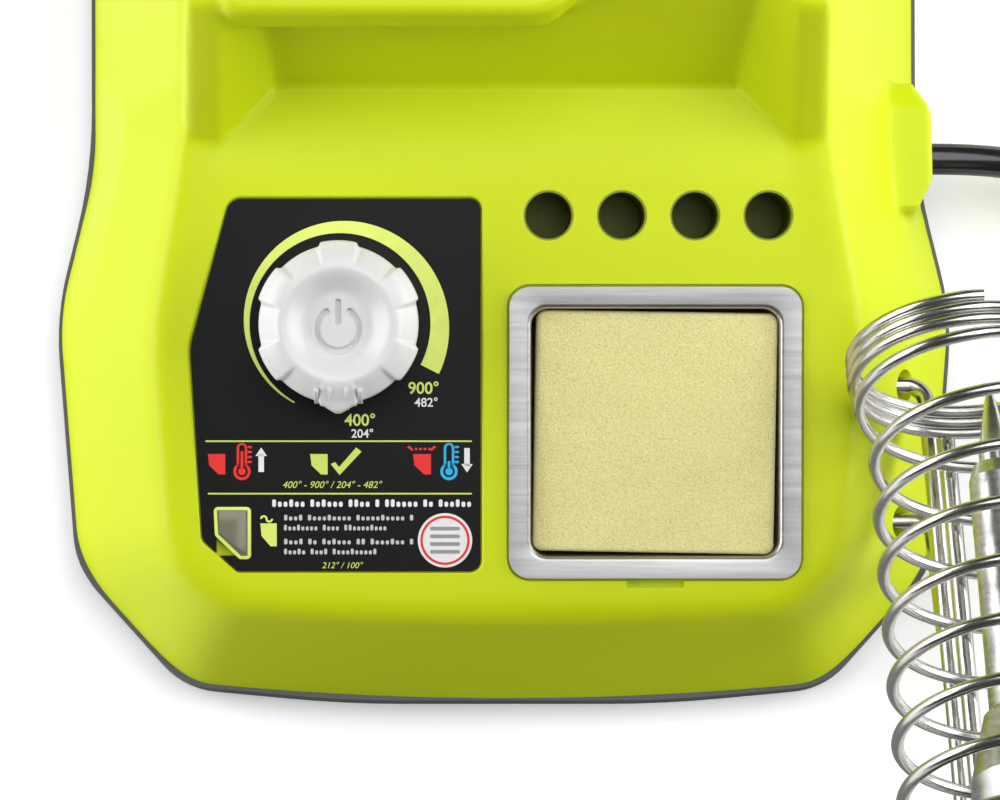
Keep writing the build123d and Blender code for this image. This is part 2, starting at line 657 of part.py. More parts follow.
# ---------------------------------------------------------------- all nodes
def build():
    nodes = {
        "base_tray": make_base_tray(),
        **split_cover(make_top_cover() + panel_posts()),
        "rubber_feet": make_feet(),
        "case_screws": make_case_screws(),
        "control_panel": make_control_panel(),
        "dial_scale": make_dial_scale(),
        "status_window": make_status_window(),
        "temperature_knob": make_knob(),
        "knob_shaft": make_knob_shaft(),
        "encoder_body": make_encoder_body(),
        "encoder_rotor": make_encoder_rotor(),
        "control_board": make_control_board(),
        "status_led": make_status_led(),
        "board_screws": make_board_screws(),
        "sponge_tray": make_sponge_tray(),
        "sponge": make_sponge(),
        "tip_rack": make_tip_rack(),
        "battery_well": make_battery_well(),
        "terminal_block": make_terminal_block(),
        "terminal_blades": make_terminal_blades(),
        "power_board": make_power_board(),
        "holder_coil": make_holder_coil(),
        "holder_bracket": make_holder_bracket(),
        "holder_hook": make_holder_hook(),
        "holder_sockets": make_holder_sockets(),
        "iron_tip": make_iron_tip(),
        "tip_sleeve": make_tip_sleeve(),
        "heater_core": make_heater_core(),
        "sleeve_nut": make_sleeve_nut(),
        "heat_guard": make_heat_guard(),
        "iron_handle": make_iron_handle(),
        "handle_grip": make_handle_grip(),
        "handle_cap": make_handle_cap(),
        "iron_strain_relief": make_iron_strain_relief(),
        "cord_gland": make_cord_gland(),
        "cord_base_lead": make_lead(BASE_LEAD, "base lead"),
        "cord_coil": make_cord_coil(),
        "cord_iron_lead": make_lead(iron_lead_points(), "iron lead"),
    }
    return {name: Pos(-ORIGIN_X, -ORIGIN_Y, 0) * shape for name, shape in nodes.items()}


os.makedirs("parts", exist_ok=True)
for name, shape in build().items():
    export_step(shape, f"parts/{name}.step")
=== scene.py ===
import math

import bmesh
import bpy
import numpy as np
from mathutils import Euler, Matrix, Vector


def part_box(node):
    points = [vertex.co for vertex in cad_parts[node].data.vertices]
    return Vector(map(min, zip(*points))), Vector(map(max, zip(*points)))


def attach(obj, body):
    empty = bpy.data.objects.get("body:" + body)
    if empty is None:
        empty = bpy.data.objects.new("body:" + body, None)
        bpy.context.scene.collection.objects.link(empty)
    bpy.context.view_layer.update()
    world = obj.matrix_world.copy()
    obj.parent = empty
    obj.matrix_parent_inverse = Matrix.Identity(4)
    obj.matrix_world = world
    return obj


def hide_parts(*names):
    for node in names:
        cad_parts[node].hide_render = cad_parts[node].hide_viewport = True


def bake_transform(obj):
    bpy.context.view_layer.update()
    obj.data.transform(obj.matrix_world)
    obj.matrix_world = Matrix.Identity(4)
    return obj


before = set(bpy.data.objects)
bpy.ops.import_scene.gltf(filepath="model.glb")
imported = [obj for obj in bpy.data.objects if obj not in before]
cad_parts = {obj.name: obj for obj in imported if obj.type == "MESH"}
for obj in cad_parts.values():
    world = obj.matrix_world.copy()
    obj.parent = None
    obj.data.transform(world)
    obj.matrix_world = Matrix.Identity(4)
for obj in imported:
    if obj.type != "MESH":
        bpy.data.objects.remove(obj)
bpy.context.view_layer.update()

# ---------------------------------------------------------------- frame of the housing
# Helper functions take millimetres in the housing's own frame: X = 0 is its plane of symmetry,
# Y = 0 the front edge of the sloping deck and Z = 0 the bench.
MM = 0.001
REAR_Y = 206.0
DECK_RISE = 0.21256          # tangent of the slope of the deck
TRAY_REAR_Y = 206.8          # rear edge of the base tray, which stands out a little
tray_low, tray_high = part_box("base_tray")
BASE = Vector(((tray_low.x + tray_high.x) / 2, tray_high.y - TRAY_REAR_Y * MM, 0))
SLOPE = math.radians(12)
DECK_FRONT_Z = 34.0
DECK = Matrix.Translation(BASE + Vector((0, 0, DECK_FRONT_Z * MM))) @ Matrix.Rotation(SLOPE, 4, "X")
DIAL_U, DIAL_V = -33.3, 58.7
PANEL_W = -0.6
TRAY_U, TRAY_V = 29.75, 36.9
TIP_U = [8.39, 23.03, 37.67, 52.31]
TIP_V = 80.3
SEAM_Z = 9.0                 # joint between the base tray and the cover
CREASE_Y = 89.5              # where the deck drops into the recess of the tower
TOWER_TOP_Z = 86.0
WALL = 2.6
DOCK_X, DOCK_Y = -19.5, 156.0
LUG_Y, LUG_Z = 98.5, 17.0    # where the lead leaves the right wall
HOLDER_SOCKETS = [(48.6, 25.8), (21.5, 20.0)]
WIRE_HOLE_RADIUS = 3.4
LAMP_U, LAMP_V = -54.1, 17.9


def at(x, y, z):
    """Housing millimetres to scene metres."""
    return BASE + Vector((x, y, z)) * MM


def deck(u, v, w):
    """Deck millimetres (right, up the slope, out of the deck) to scene metres."""
    return DECK @ (Vector((u, v, w)) * MM)


# ---------------------------------------------------------------- materials
class Nodes:
    """Small builder for a principled material's node tree."""

    def __init__(self, name, color, rough, metallic=0.0, **sockets):
        self.material = bpy.data.materials.new(name)
        self.material.use_nodes = True
        self.tree = self.material.node_tree
        self.shader = self.tree.nodes["Principled BSDF"]
        self.set("Base Color", (*color, 1))
        self.set("Roughness", rough)
        self.set("Metallic", metallic)
        for key, value in sockets.items():
            self.set(key.replace("_", " "), value)
        self.coords = self.tree.nodes.new("ShaderNodeTexCoord").outputs["Object"]

    def set(self, socket, value):
        self.shader.inputs[socket].default_value = value

    def link(self, output, node, socket):
        self.tree.links.new(output, node.inputs[socket])

    def mapped(self, scale):
        node = self.tree.nodes.new("ShaderNodeMapping")
        node.inputs["Scale"].default_value = scale
        self.link(self.coords, node, "Vector")
        return node.outputs["Vector"]

    def noise(self, scale, detail=4.0, rough=0.55, stretch=(1, 1, 1)):
        node = self.tree.nodes.new("ShaderNodeTexNoise")
        node.inputs["Scale"].default_value = scale
        node.inputs["Detail"].default_value = detail
        node.inputs["Roughness"].default_value = rough
        self.link(self.mapped(stretch), node, "Vector")
        return node.outputs["Fac"]

    def cell_edges(self, scale):
        node = self.tree.nodes.new("ShaderNodeTexVoronoi")
        node.feature = "DISTANCE_TO_EDGE"
        node.inputs["Scale"].default_value = scale
        self.link(self.mapped((1, 1, 1)), node, "Vector")
        return node.outputs["Distance"]

    def ramp(self, value, stops):
        node = self.tree.nodes.new("ShaderNodeValToRGB")
        elements = node.color_ramp.elements
        while len(elements) < len(stops):
            elements.new(0.5)
        for element, (place, color) in zip(elements, stops):
            element.position = place
            element.color = (*color, 1)
        self.link(value, node, "Fac")
        return node.outputs["Color"]

    def span(self, value, low, high, socket):
        """Feed a socket with a 0..1 value spread over low..high."""
        node = self.tree.nodes.new("ShaderNodeMapRange")
        node.inputs["To Min"].default_value = low
        node.inputs["To Max"].default_value = high
        self.link(value, node, "Value")
        self.link(node.outputs["Result"], self.shader, socket)

    def color(self, value, stops):
        self.link(self.ramp(value, stops), self.shader, "Base Color")

    def bump(self, value, depth, strength=1.0, over=None):
        node = self.tree.nodes.new("ShaderNodeBump")
        node.inputs["Distance"].default_value = depth
        node.inputs["Strength"].default_value = strength
        self.link(value, node, "Height")
        if over is not None:
            self.link(over, node, "Normal")
        self.link(node.outputs["Normal"], self.shader, "Normal")
        return node.outputs["Normal"]


def shades(color, spread):
    """Colour stops a little darker and lighter than a colour."""
    low = tuple(c * (1 - spread) for c in color)
    high = tuple(min(c * (1 + spread), 1) for c in color)
    return [(0.3, low), (0.7, high)]


def moulded(name, color, rough, grain=900, depth=0.00003, spread=0.03, **sockets):
    """Moulded plastic: spark-eroded grain, slow colour drift and uneven gloss."""
    m = Nodes(name, color, rough, **sockets)
    m.color(m.noise(9, 2), shades(color, spread))
    m.span(m.noise(30, 3), rough - 0.05, rough + 0.06, "Roughness")
    m.bump(m.noise(grain, 3), depth)
    return m.material


def brushed(name, color, rough, stretch, **sockets):
    """Sheet metal brushed in one direction."""
    m = Nodes(name, color, rough, 1.0, **sockets)
    lines = m.noise(700, 6, 0.7, stretch)
    m.color(lines, [(0.30, tuple(c * 0.74 for c in color)), (0.72, tuple(min(c * 1.16, 1) for c in color))])
    m.span(m.noise(900, 5, 0.7, stretch), rough - 0.09, rough + 0.14, "Roughness")
    m.bump(lines, 0.00002, 0.7)
    return m.material


def drawn_wire(name, color, rough):
    """Plated wire with faint drawing marks and cloudy gloss."""
    m = Nodes(name, color, rough, 1.0)
    m.color(m.noise(60, 4), shades(color, 0.10))
    m.span(m.noise(260, 4), rough - 0.05, rough + 0.09, "Roughness")
    m.bump(m.noise(900, 4, 0.6), 0.000012)
    return m.material


def cellulose():
    """Damp cellulose sponge: fibrous colour, fine pores and a soft sheen."""
    m = Nodes("sponge_cellulose", (0.66, 0.62, 0.24), 0.95, Sheen_Weight=0.35)
    m.set("Sheen Roughness", 0.6)
    fibres = m.noise(2600, 6, 0.7)
    m.color(fibres, [(0.34, (0.68, 0.60, 0.19)), (0.50, (0.86, 0.78, 0.32)), (0.68, (0.95, 0.90, 0.52))])
    coarse = m.bump(m.noise(420, 3), 0.0003, 0.5)
    m.bump(fibres, 0.0003, 0.7, over=coarse)
    return m.material


def glossy_rubber():
    """Rubber sheath of the lead, with an uneven shine."""
    m = Nodes("black_lead", (0.012, 0.012, 0.014), 0.2, Coat_Weight=0.5)
    m.set("Coat Roughness", 0.12)
    m.span(m.noise(40, 3), 0.16, 0.28, "Roughness")
    m.bump(m.noise(500, 3), 0.00002)
    return m.material


def printed(name, color, rough=0.5):
    """Screen-printed ink."""
    m = Nodes(name, color, rough)
    m.color(m.noise(300, 3), shades(color, 0.05))
    m.bump(m.noise(1200, 2), 0.000008)
    return m.material


def circuit_board():
    """Green solder mask over lighter tracks."""
    m = Nodes("circuit_board", (0.01, 0.12, 0.04), 0.4)
    tracks = m.cell_edges(260)
    m.color(tracks, [(0.02, (0.02, 0.25, 0.09)), (0.08, (0.008, 0.09, 0.03))])
    m.bump(tracks, 0.00004, 0.5)
    return m.material


LIME = (0.60, 0.71, 0.006)
mat_lime = moulded("lime_plastic", LIME, 0.40, Specular_IOR_Level=0.24)
mat_grey = moulded("dark_grey_plastic", (0.075, 0.077, 0.085), 0.5, depth=0.00005)
mat_rubber = moulded("soft_black_rubber", (0.022, 0.022, 0.024), 0.75, 700, 0.00008)
mat_panel = moulded("black_panel", (0.004, 0.004, 0.0045), 0.42, 1600, 0.00001, 0.1, Specular_IOR_Level=0.2)
mat_scale = printed("scale_lime", (0.72, 0.83, 0.16), 0.4)
mat_knob = moulded("white_knob", (0.71, 0.71, 0.71), 0.34, 1500, 0.000012, 0.01)
mat_inner = moulded("black_nylon", (0.02, 0.02, 0.02), 0.5)
# Painted shade: the tip cups use the cover's lime darkened to about a third, so the tip holes look deep and
# shaded
mat_cup_painted_shade = moulded("tip_cup_painted_shade", (0.22, 0.26, 0.006), 0.5)
mat_tray = brushed("brushed_steel", (0.47, 0.47, 0.48), 0.34, (0.035, 1, 1))
mat_screw = brushed("zinc_screw", (0.55, 0.55, 0.56), 0.36, (1, 1, 0.1))
mat_chrome = drawn_wire("nickel_wire", (0.62, 0.61, 0.59), 0.20)
mat_sleeve = brushed("turned_sleeve", (0.62, 0.62, 0.62), 0.27, (0.2, 1, 0.2))
mat_tip = drawn_wire("plated_tip", (0.72, 0.71, 0.69), 0.24)
mat_brass = drawn_wire("tinned_brass", (0.75, 0.55, 0.22), 0.3)
mat_can = brushed("encoder_can", (0.5, 0.5, 0.5), 0.4, (1, 0.1, 1))
mat_ceramic = moulded("heater_ceramic", (0.75, 0.72, 0.68), 0.6)
mat_cord = glossy_rubber()
mat_sponge = cellulose()
mat_board = circuit_board()
mat_white = printed("print_white", (0.82, 0.82, 0.82))
mat_soft_white = printed("print_soft_white", (0.55, 0.55, 0.55))
mat_red = printed("print_red", (0.80, 0.02, 0.015))
mat_blue = printed("print_blue", (0.01, 0.45, 0.80))
mat_pale = printed("print_pale_lime", (0.62, 0.74, 0.12))
mat_smoke = moulded("smoked_window", (0.20, 0.19, 0.13), 0.2, 300, 0.00001, 0.1)
mat_led = moulded("led_dome", (0.75, 0.78, 0.62), 0.15)
mat_print_grey = printed("print_soft_grey", (0.30, 0.30, 0.31))

CAD_FINISH = {
    "base_tray": mat_grey, "top_cover": mat_lime, "rear_cover_left": mat_lime,
    "rear_cover_right": mat_lime, "rear_cover_front": mat_lime, "rear_cover_back": mat_lime,
    "rubber_feet": mat_rubber, "case_screws": mat_screw,
    "control_panel": mat_panel, "dial_scale": mat_scale, "status_window": mat_smoke,
    "temperature_knob": mat_knob, "knob_shaft": mat_inner, "encoder_body": mat_can,
    "encoder_rotor": mat_inner, "control_board": mat_board, "status_led": mat_led,
    "board_screws": mat_screw, "sponge_tray": mat_tray, "sponge": mat_sponge, "tip_rack": mat_cup_painted_shade,
    "battery_well": mat_inner, "terminal_block": mat_inner, "terminal_blades": mat_brass,
    "power_board": mat_board, "holder_coil": mat_chrome, "holder_bracket": mat_chrome,
    "holder_hook": mat_chrome, "holder_sockets": mat_inner, "iron_tip": mat_tip,
    "tip_sleeve": mat_sleeve, "heater_core": mat_ceramic, "sleeve_nut": mat_sleeve,
    "heat_guard": mat_inner, "iron_handle": mat_inner, "handle_grip": mat_rubber,
    "handle_cap": mat_lime, "iron_strain_relief": mat_rubber, "cord_gland": mat_rubber,
    "cord_base_lead": mat_cord, "cord_coil": mat_cord, "cord_iron_lead": mat_cord,
}
for node_name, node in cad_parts.items():
    node.data.materials.clear()
    node.data.materials.append(CAD_FINISH[node_name])


# ---------------------------------------------------------------- mesh helpers
def piece(name, verts, faces, material):
    mesh = bpy.data.meshes.new(name)
    mesh.from_pydata([tuple(v) for v in verts], [], faces)
    mesh.validate()
    obj = bpy.data.objects.new(name, mesh)
    bpy.context.scene.collection.objects.link(obj)
    mesh.materials.append(material)
    return obj


def smooth(obj, degrees=35):
    obj.data.polygons.foreach_set("use_smooth", [True] * len(obj.data.polygons))
    obj.data.set_sharp_from_angle(angle=math.radians(degrees))
    return obj


def bake(obj):
    """Replace the mesh by what its modifiers make of it."""
    bpy.context.view_layer.update()
    done = bpy.data.meshes.new_from_object(obj.evaluated_get(bpy.context.evaluated_depsgraph_get()))
    obj.modifiers.clear()
    obj.data = done


def cut(obj, tool):
    mod = obj.modifiers.new("cut", "BOOLEAN")
    mod.operation = "DIFFERENCE"
    mod.solver = "EXACT"
    mod.object = tool
    bake(obj)
    bpy.data.objects.remove(tool)


def joined(parts):
    """One (verts, faces) list from several."""
    verts, faces = [], []
    for part_verts, part_faces in parts:
        start = len(verts)
        verts += part_verts
        faces += [tuple(i + start for i in face) for face in part_faces]
    return verts, faces


def skin(loops, close=True, caps=True):
    """Quads between loops with equal point counts; the end loops may be capped."""
    count = len(loops[0])
    verts = [p for loop in loops for p in loop]
    faces = []
    for i in range(len(loops) - 1):
        for j in range(count if close else count - 1):
            k = (j + 1) % count
            faces.append((i * count + j, i * count + k, (i + 1) * count + k, (i + 1) * count + j))
    if caps:
        faces.append(tuple(reversed(range(count))))
        faces.append(tuple(range(len(verts) - count, len(verts))))
    return verts, faces


def round_corners(points, radii, steps=6):
    """2D outline with its corners turned into arcs."""
    out = []
    count = len(points)
    for i in range(count):
        here, before, after = Vector(points[i]), Vector(points[i - 1]), Vector(points[(i + 1) % count])
        a, b = (before - here).normalized(), (after - here).normalized()
        half = a.angle(b) / 2
        reach = min(radii[i] / math.tan(half), (before - here).length * 0.48, (after - here).length * 0.48)
        radius = reach * math.tan(half)
        centre = here + (a + b).normalized() * (radius / math.sin(half))
        first, last = here + a * reach - centre, here + b * reach - centre
        turn = first.angle_signed(last)
        for k in range(steps + 1):
            step = -turn * k / steps
            out.append((centre.x + first.x * math.cos(step) - first.y * math.sin(step),
                        centre.y + first.x * math.sin(step) + first.y * math.cos(step)))
    return out


def grown(points, amount):
    """2D anticlockwise outline moved outwards."""
    out = []
    count = len(points)
    for i in range(count):
        before, here, after = Vector(points[i - 1]), Vector(points[i]), Vector(points[(i + 1) % count])
        d = (after - before).normalized()
        out.append((here.x + d.y * amount, here.y - d.x * amount))
    return out


def rounded_rect(width, height, radius, u=0.0, v=0.0, steps=8):
    a, b = width / 2, height / 2
    points = [(u - a, v - b), (u + a, v - b), (u + a, v + b), (u - a, v + b)]
    return round_corners(points, [radius] * 4, steps)


def ring2d(radius, u, v, count=64):
    return [(u + radius * math.cos(2 * math.pi * k / count), v + radius * math.sin(2 * math.pi * k / count))
            for k in range(count)]


def stack(levels, place=deck):
    """Closed solid from (outline, height) levels."""
    return skin([[place(u, v, w) for u, v in outline] for outline, w in levels])


# ---------------------------------------------------------------- housing shape
# The cover is the zero surface of a distance field, so every edge has its own softness.
def soft_max(a, b, k):
    h = np.clip(0.5 + 0.5 * (a - b) / k, 0, 1)
    return b + (a - b) * h + k * h * (1 - h)


def soft_min(a, b, k):
    return -soft_max(-a, -b, k)


def ease(t):
    t = np.clip(t, 0, 1)
    return t * t * (3 - 2 * t)


def smoothed(y, knots_y, knots_x, width):
    """Piecewise-linear outline with its corners rounded over a width."""
    offsets = np.linspace(-width, width, 9)
    return sum(np.interp(y + d, knots_y, knots_x) for d in offsets) / len(offsets)


def shoulder_bulge(y, t):
    """Faceted bulge on the side walls, beside the rear of the deck, in millimetres."""
    fold = np.interp(y, [67, 82, 93, 104], [0.36, 0.41, 0.47, 0.50])
    rear = (119.0 - 14.0 * t - y) / 8.0
    upper = (1.0 - t) / (1.0 - fold)
    lower = t / fold
    height = 2.6 * ease((y - 55) / 42)
    tent = soft_min(soft_min(rear, upper, 0.08), lower, 0.08)
    return height * np.clip(tent, 0, 1)


def scaled(field, step):
    """Divide a field by its slope, so that it measures millimetres near its zero."""
    slope = np.gradient(field, step)
    return field / np.sqrt(sum(g * g for g in slope) + 1e-6)


def housing_field(x, y, z, step):
    a = np.abs(x)
    plane = DECK_FRONT_Z + DECK_RISE * y
    seam_x = smoothed(y, [-10.2, 14, 66.5, 98, 206], [66, 88, 93, 86, 88], 7)
    crest_x = smoothed(y, [2.2, 12, 55, 95, 209], [59, 68, 71.6, 64.3, 66.5], 6)
    rise = 0.8 * ease((y - 46) / 46)
    crest = plane + rise
    t = (z - SEAM_Z) / (crest - SEAM_Z)
    wall = seam_x + (crest_x - seam_x) * t + shoulder_bulge(y, np.clip(t, 0, 1.2))
    side = scaled(a - wall, step)
    ft = (z - SEAM_Z) / (DECK_FRONT_Z - SEAM_Z)
    front_low = -13.6 + 3.4 * (x / 66) ** 2
    front_high = 0.2 + 1.9 * (x / 59) ** 2
    front = scaled(front_low + (front_high - front_low) * ft - y, step)
    rear = y - (REAR_Y - 0.03 * (z - SEAM_Z))
    floor = np.maximum(52.9 - 0.09 * (y - CREASE_Y), plane - 6.8)
    low = soft_min(plane, floor, 1.6)
    inner = np.minimum(58.0, crest_x - 9)
    share = np.clip((a - inner) / (crest_x - 0.6 - inner), 0, 1)
    top = scaled(z - (low + (crest - low) * share), step)
    body = soft_max(soft_max(side, front, 7.0), rear, 5.0)
    body = soft_max(body, top, 3.0)
    return soft_min(body, tower_field(a, x, y, z, floor), 1.0)


def tower_field(a, x, y, z, floor):
    t = (z - 40) / 46
    block = soft_max(a - (65.5 - 3.1 * t), ((85 + 27 * t) - y) * 0.862, 2.2)
    block = soft_max(block, y - (204 - 4 * t), 8)
    block = soft_max(block, z - TOWER_TOP_Z, 2.0)
    v = (z - 52) / 34
    ax, ay = 57.6 - 1.4 * v, 92 + 20 * v
    bx, by = 46.2 + 3.6 * v, 105 + 14.3 * v
    length = np.sqrt((bx - ax) ** 2 + (by - ay) ** 2)
    facet = ((a - ax) * (by - ay) - (y - ay) * (bx - ax)) / length
    back = (y - by) * 0.92
    hollow = np.maximum(soft_max(facet, back, 0.5), (floor - z))
    block = soft_max(block, -hollow, 0.8)
    lip = soft_max(-55.5 - x, (x - 8) * 0.697 - (y - 109.8) * 0.717, 3)
    lip = soft_max(soft_max(lip, x - 19, 2), 109.8 - y, 3)
    lip = soft_max(soft_max(lip, y - 134, 2), z - 87.2, 2.4)
    lip = soft_max(lip, 76 - z, 1.5)
    return soft_min(block, lip, 1.4)


def lug_field(x, y, z):
    ends = np.maximum(0, x - 84.5) * 1.9
    pad = soft_max(x - 88, (84.5 - y + ends) * 0.6, 0.8)
    pad = soft_max(pad, (y - 112.5 + ends) * 0.6, 0.8)
    pad = soft_max(pad, soft_max(z - 30, (y - 107) * 0.5 + (z - 30) * 0.86, 0.6), 0.9)
    return np.maximum(soft_max(pad, 10 - z, 1), 72 - x)


CORNERS = [(i, j, k) for i in (0, 1) for j in (0, 1) for k in (0, 1)]


def surface(field, start, step):
    """Zero surface of a sampled field as quads: one vertex for each cell that it crosses."""
    size = np.array(field.shape) - 1

    def shifted(values, corner):
        return values[tuple(slice(c, c + n) for c, n in zip(corner, size))]

    inside = field < 0
    filled = sum(shifted(inside, c).astype(int) for c in CORNERS)
    active = (filled > 0) & (filled < 8)
    total = np.zeros((*size, 3))
    weight = np.zeros(tuple(size))
    for axis in range(3):
        for corner in CORNERS:
            if corner[axis]:
                continue
            end = tuple(c + (1 if n == axis else 0) for n, c in enumerate(corner))
            p, q = shifted(field, corner), shifted(field, end)
            crosses = (p < 0) != (q < 0)
            share = np.where(crosses, p / np.where(crosses, p - q, 1), 0)
            for n in range(3):
                total[..., n] += crosses * (corner[n] + (share if n == axis else 0))
            weight += crosses
    cells = np.argwhere(active)
    places = cells + total[active] / weight[active][:, None]
    index = -np.ones(tuple(size), int)
    index[active] = np.arange(len(cells))
    quads = []
    for axis in range(3):
        u, v = (axis + 1) % 3, (axis + 2) % 3
        low = [1, 1, 1]
        low[axis] = 0
        spans = [slice(low[n], field.shape[n] - 1) for n in range(3)]
        ends = [slice(s.start + (1 if n == axis else 0), s.stop + (1 if n == axis else 0))
                for n, s in enumerate(spans)]
        p, q = inside[tuple(spans)], inside[tuple(ends)]
        for flag, order in ((p & ~q, (0, 1, 2, 3)), (~p & q, (3, 2, 1, 0))):
            hits = np.argwhere(flag) + np.array([s.start for s in spans])
            around = []
            for du, dv in ((-1, -1), (0, -1), (0, 0), (-1, 0)):
                cell = hits.copy()
                cell[:, u] += du
                cell[:, v] += dv
                around.append(index[cell[:, 0], cell[:, 1], cell[:, 2]])
            quads.append(np.stack([around[n] for n in order], 1))
    return np.array(start) + places * step, np.concatenate(quads)


def make_cover():
    """Shell of the cover, a little deeper than its seam, where a flat cut then ends it."""
    step = 1.1
    xs, ys, zs = (np.arange(low, high, step) for low, high in ((-98, 98), (-19, 211), (3.5, 92)))
    x, y, z = np.meshgrid(xs, ys, zs, indexing="ij")
    solid = housing_field(x, y, z, step)
    solid = soft_min(solid, lug_field(x, y, z), 0.8)
    spare = 3.5
    shell = np.maximum(np.maximum(solid, -(solid + WALL)), SEAM_Z - spare - z)
    places, quads = surface(shell, (xs[0], ys[0], zs[0]), step)
    verts = places * MM + np.array(BASE)
    return piece("cover_shell", verts.tolist(), quads.tolist(), mat_lime)


# ---------------------------------------------------------------- openings in the cover
PANEL_POINTS = [(-55.3, 83.6), (-63.3, 54), (-60.9, 15.4), (-53.8, 9.1), (-5.2, 9.1), (-5.2, 83.6)]
PANEL_RADII = [3, 12, 2, 1, 2.2, 2.2]
PANEL_OUTLINE = round_corners(PANEL_POINTS, PANEL_RADII, 8)


def chamfered_cutter(outline, depth, chamfer):
    """Cutter whose top edge flares, which leaves a fine chamfer round the opening."""
    return stack([(outline, -depth), (outline, -chamfer), (grown(outline, chamfer * 2), chamfer),
                  (grown(outline, chamfer * 2), 6)])


def upright(outline, low, high):
    return stack([(outline, low), (outline, high)], at)


def through_deck(outline, depth=12):
    return stack([(outline, -depth), (outline, 4)])


def sideways_hole(radius, y, z, x0, x1):
    return skin([[at(x, *point) for point in ring2d(radius, y, z, 40)] for x in (x0, x1)])


def tool(name, parts):
    verts, faces = joined(parts)
    obj = piece(name, verts, faces, mat_lime)
    edit = bmesh.new()
    edit.from_mesh(obj.data)
    bmesh.ops.recalc_face_normals(edit, faces=edit.faces)
    edit.to_mesh(obj.data)
    edit.free()
    return obj


cover = make_cover()
recesses = [
    chamfered_cutter(grown(PANEL_OUTLINE, 0.3), 1.6, 0.35),
    chamfered_cutter(rounded_rect(59.3, 59.3, 4.6, TRAY_U, TRAY_V), 0.7, 0.12),
    upright(rounded_rect(49.6, 37.6, 4, DOCK_X, DOCK_Y), 70, 95),
    *[sideways_hole(WIRE_HOLE_RADIUS, y, z, 70, 96) for y, z in HOLDER_SOCKETS],
    sideways_hole(4.3, LUG_Y, LUG_Z, 66, 96),
    upright(rounded_rect(260, 330, 5, 0, 95, 2), -5, SEAM_Z),
]
recesses += [chamfered_cutter(ring2d(4.7, u, TIP_V), 12, 0.42) for u in TIP_U]
holes = [
    through_deck(ring2d(5.5, DIAL_U, DIAL_V)),
    through_deck(rounded_rect(4.0, 6.4, 1, LAMP_U, LAMP_V)),
    through_deck(rounded_rect(52.8, 52.8, 5, TRAY_U, TRAY_V)),
    through_deck(rounded_rect(11.6, 2.6, 0.5, TRAY_U, 7.2), 1.4),
]
cut(cover, tool("recess_tool", recesses))
cut(cover, tool("hole_tool", holes))
smooth(cover, 40)
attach(cover, "station")
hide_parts(*[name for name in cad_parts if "cover" in name])


# ---------------------------------------------------------------- panel print
def flat_shape(name, outlines, material, w, thick=0.04, body="station"):
    parts = [stack([(outline, w), (outline, w + thick)]) for outline in outlines]
    verts, faces = joined(parts)
    obj = tool(name, [(verts, faces)])
    obj.data.materials[0] = material
    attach(obj, body)
    return obj


def bar(u0, u1, v, height):
    """Rounded bar along u."""
    return rounded_rect(u1 - u0, height, height * 0.45, (u0 + u1) / 2, v, 4)


def words(u0, u1, v, height, lengths, gap=0.8):
    """Line of plain marks, grouped like words, that stands for print without being any."""
    marks = sum(lengths)
    pitch = ((u1 - u0) - gap * (len(lengths) - 1)) / marks
    out = []
    place = u0
    count = 0
    for length in lengths:
        for k in range(length):
            tall = height * (1.0 if k == 0 or (count * 7) % 5 == 1 else 0.7)
            base = v - height / 2
            mark = rounded_rect(pitch * 0.66, tall, pitch * 0.25, place + pitch / 2, base + tall / 2, 2)
            out.append(mark)
            place += pitch
            count += 1
        place += gap
    return out


def band(inner, outer, u, v, start, stop, count=48):
    """Flat arc between two radii, angles in degrees."""
    angles = [math.radians(start + (stop - start) * k / count) for k in range(count + 1)]
    far = [(u + outer * math.cos(a), v + outer * math.sin(a)) for a in angles]
    near = [(u + inner * math.cos(a), v + inner * math.sin(a)) for a in reversed(angles)]
    return far + near


def number(name, text, u, v, size, material, slant=0.0, bold=0.0):
    """Scale number lying on the panel, its lower left corner at u, v."""
    curve = bpy.data.curves.new(name, "FONT")
    curve.body = text
    curve.size = size
    curve.shear = slant
    curve.offset = bold
    curve.extrude = 0.03
    curve.resolution_u = 6
    holder = bpy.data.objects.new(name + "_text", curve)
    bpy.context.scene.collection.objects.link(holder)
    bpy.context.view_layer.update()
    mesh = bpy.data.meshes.new_from_object(holder)
    bpy.data.objects.remove(holder)
    for vert in mesh.vertices:
        vert.co = deck(u + vert.co.x, v + vert.co.y, PANEL_W + 0.03 + vert.co.z)
    mesh.materials.clear()
    mesh.materials.append(material)
    obj = bpy.data.objects.new(name, mesh)
    bpy.context.scene.collection.objects.link(obj)
    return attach(obj, "station")


def window_shape(u, v, width, height):
    """Window outline with its lower left corner cut away."""
    return [(u + width, v + height), (u, v + height), (u + 0.08 * width, v + 0.45 * height),
            (u + 0.62 * width, v), (u + width, v)]


def thermometer(u, v):
    """Bulb, stem and tick marks; the hollow and the fluid are laid over them."""
    bulb = ring2d(1.75, u, v + 1.5, 28)
    stem = rounded_rect(2.1, 5.6, 1.0, u, v + 4.4, 5)
    ticks = [bar(u + 1.1, u + 2.0, v + 3.4 + 1.0 * k, 0.45) for k in range(4)]
    return [bulb, stem] + ticks


def thermometer_hollow(u, v, fill):
    hollow = [ring2d(1.15, u, v + 1.5, 24), rounded_rect(1.1, 4.6, 0.5, u, v + 4.5, 4)]
    fluid = [ring2d(0.75, u, v + 1.5, 20), rounded_rect(0.55, fill, 0.2, u, v + 2.0 + fill / 2, 3)]
    return hollow, fluid


def arrow(u, v, way):
    shaft = rounded_rect(1.1, 3.6, 0.05, u, v - 0.6 * way, 2)
    head = [(u - 1.15, v + 0.8 * way), (u + 1.15, v + 0.8 * way), (u, v + 2.5 * way)]
    return [shaft, head if way > 0 else head[::-1]]


